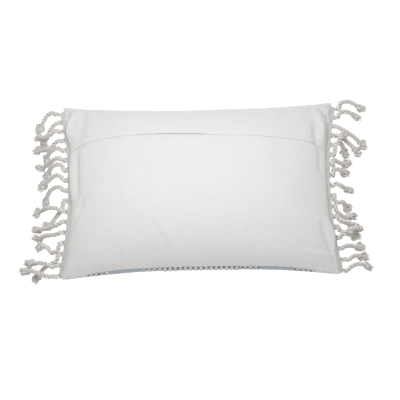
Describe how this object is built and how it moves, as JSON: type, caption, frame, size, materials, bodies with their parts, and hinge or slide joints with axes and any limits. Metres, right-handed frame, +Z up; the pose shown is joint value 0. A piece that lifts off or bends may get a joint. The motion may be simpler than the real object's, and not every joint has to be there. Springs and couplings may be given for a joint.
{
  "type": "throw pillow",
  "caption": "Lumbar throw pillow with a hand-woven patterned front, a plain cotton envelope back, a stuffed insert and knotted cord fringes on both short sides.",
  "frame": {"origin": "on the floor under the middle of the body, which lies on its patterned front with the plain back up", "axes": "+X along the pillow's long side, +Y across it towards the closure, +Z up through the plain back"},
  "size_m": [0.6942, 0.3581, 0.133],
  "materials": {
    "plain_back": "plain slubby cotton, matt",
    "patterned_front": "hand-woven bands of blue-grey and natural yarn with raised loops",
    "natural_cotton": "undyed twisted cotton, matt",
    "insert_ticking": "smooth white cotton case",
    "fibre_fill": "lofted polyester fibre"
  },
  "bodies": {
    "root": {"front_panel": "patterned_front", "back_upper_panel": "plain_back", "back_lower_panel": "plain_back", "insert_case_back": "insert_ticking", "insert_case_front": "insert_ticking", "fibre_fill": "fibre_fill", "fringe_header_left": "natural_cotton", "fringe_header_right": "natural_cotton", "tassel_left_01": "natural_cotton", "tassel_left_02": "natural_cotton", "tassel_left_03": "natural_cotton", "tassel_left_04": "natural_cotton", "tassel_left_05": "natural_cotton", "tassel_left_06": "natural_cotton", "tassel_left_07": "natural_cotton", "tassel_left_08": "natural_cotton", "tassel_left_09": "natural_cotton", "tassel_left_10": "natural_cotton", "tassel_left_11": "natural_cotton", "tassel_left_12": "natural_cotton", "tassel_left_13": "natural_cotton", "tassel_left_14": "natural_cotton", "tassel_left_15": "natural_cotton", "tassel_left_16": "natural_cotton", "tassel_left_17": "natural_cotton", "tassel_right_01": "natural_cotton", "tassel_right_02": "natural_cotton", "tassel_right_03": "natural_cotton", "tassel_right_04": "natural_cotton", "tassel_right_05": "natural_cotton", "tassel_right_06": "natural_cotton", "tassel_right_07": "natural_cotton", "tassel_right_08": "natural_cotton", "tassel_right_09": "natural_cotton", "tassel_right_10": "natural_cotton", "tassel_right_11": "natural_cotton", "tassel_right_12": "natural_cotton", "tassel_right_13": "natural_cotton", "tassel_right_14": "natural_cotton", "tassel_right_15": "natural_cotton", "tassel_right_16": "natural_cotton", "tassel_right_17": "natural_cotton"}
  },
  "joints": []
}
